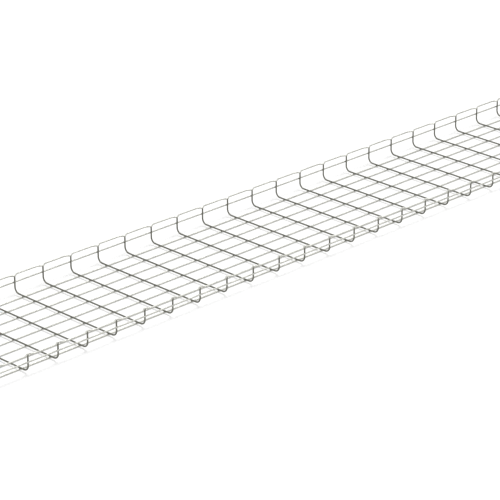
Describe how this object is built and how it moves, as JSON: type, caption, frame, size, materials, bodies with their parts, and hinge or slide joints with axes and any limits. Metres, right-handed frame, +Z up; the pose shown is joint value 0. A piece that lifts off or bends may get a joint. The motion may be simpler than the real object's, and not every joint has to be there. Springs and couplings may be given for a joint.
{
  "type": "wire mesh cable basket",
  "caption": "Straight length of welded wire mesh cable basket: U-bent cross wires on straight longitudinal wires, open top, scalloped wires along both top edges.",
  "frame": {"origin": "middle of the basket's length and width, at the level of the underside of the corner wires, which lie on the floor", "axes": "+X along the basket, +Y across it, +Z up out of the open top"},
  "size_m": [3.005, 0.425, 0.0565],
  "materials": {
    "cross_wire_zinc": "zinc-plated drawn steel wire, satin, a little darker where it is bent and welded",
    "long_wire_zinc": "zinc-plated drawn steel wire, bright satin"
  },
  "bodies": {
    "root": {"cross_wire_01": "cross_wire_zinc", "cross_wire_02": "cross_wire_zinc", "cross_wire_03": "cross_wire_zinc", "cross_wire_04": "cross_wire_zinc", "cross_wire_05": "cross_wire_zinc", "cross_wire_06": "cross_wire_zinc", "cross_wire_07": "cross_wire_zinc", "cross_wire_08": "cross_wire_zinc", "cross_wire_09": "cross_wire_zinc", "cross_wire_10": "cross_wire_zinc", "cross_wire_11": "cross_wire_zinc", "cross_wire_12": "cross_wire_zinc", "cross_wire_13": "cross_wire_zinc", "cross_wire_14": "cross_wire_zinc", "cross_wire_15": "cross_wire_zinc", "cross_wire_16": "cross_wire_zinc", "cross_wire_17": "cross_wire_zinc", "cross_wire_18": "cross_wire_zinc", "cross_wire_19": "cross_wire_zinc", "cross_wire_20": "cross_wire_zinc", "cross_wire_21": "cross_wire_zinc", "cross_wire_22": "cross_wire_zinc", "cross_wire_23": "cross_wire_zinc", "cross_wire_24": "cross_wire_zinc", "cross_wire_25": "cross_wire_zinc", "cross_wire_26": "cross_wire_zinc", "cross_wire_27": "cross_wire_zinc", "cross_wire_28": "cross_wire_zinc", "cross_wire_29": "cross_wire_zinc", "cross_wire_30": "cross_wire_zinc", "cross_wire_31": "cross_wire_zinc", "floor_wire_1": "long_wire_zinc", "floor_wire_2": "long_wire_zinc", "floor_wire_3": "long_wire_zinc", "floor_wire_4": "long_wire_zinc", "floor_wire_5": "long_wire_zinc", "floor_wire_6": "long_wire_zinc", "corner_wire_left": "long_wire_zinc", "corner_wire_right": "long_wire_zinc", "side_wire_left": "long_wire_zinc", "side_wire_right": "long_wire_zinc", "edge_wire_left": "long_wire_zinc", "edge_wire_right": "long_wire_zinc"}
  },
  "joints": []
}
